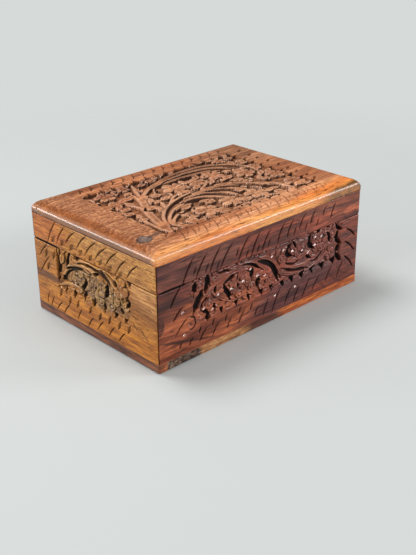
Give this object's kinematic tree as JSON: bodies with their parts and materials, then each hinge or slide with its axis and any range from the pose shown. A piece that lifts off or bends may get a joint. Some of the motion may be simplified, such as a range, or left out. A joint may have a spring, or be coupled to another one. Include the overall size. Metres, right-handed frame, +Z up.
{
  "type": "trinket box",
  "caption": "Carved hardwood trinket box: mitred walls, a rounded lid with a sunk floral field, and butt hinges let into the back so that the lid swings fully open.",
  "frame": {"origin": "middle of the flat underside of the bottom board", "axes": "+X along the long front to the right, +Y from the carved front to the hinged back, +Z up"},
  "size_m": [0.152, 0.1043, 0.064],
  "materials": {
    "lid_top_wood": "oiled and lightly varnished, satin",
    "front_wood": "dark streaked heartwood, satin varnish",
    "end_wood": "golden brown, satin varnish",
    "bottom_wood": "orange brown, satin varnish",
    "hinge_brass": "aged brass sheet",
    "pin_brass": "drawn brass rod",
    "screw_brass": "turned brass"
  },
  "bodies": {
    "base": {"bottom_board": "bottom_wood", "base_front_wall": "front_wood", "base_back_wall": "front_wood", "base_left_wall": "end_wood", "base_right_wall": "end_wood", "left_hinge_base_leaf": "hinge_brass", "left_hinge_pin": "pin_brass", "left_hinge_base_screws": "screw_brass", "right_hinge_base_leaf": "hinge_brass", "right_hinge_pin": "pin_brass", "right_hinge_base_screws": "screw_brass"},
    "lid": {"lid_top_board": "lid_top_wood", "lid_front_rail": "front_wood", "lid_back_rail": "front_wood", "lid_left_rail": "end_wood", "lid_right_rail": "end_wood", "left_hinge_lid_leaf": "hinge_brass", "left_hinge_lid_screws": "screw_brass", "right_hinge_lid_leaf": "hinge_brass", "right_hinge_lid_screws": "screw_brass"}
  },
  "joints": [
    {"name": "lid_hinge", "type": "hinge", "parent": "base", "child": "lid", "pos_m": [0, 0.0514, 0.0429], "axis": [-1, 0, 0], "range_deg": [0, 180]}
  ]
}
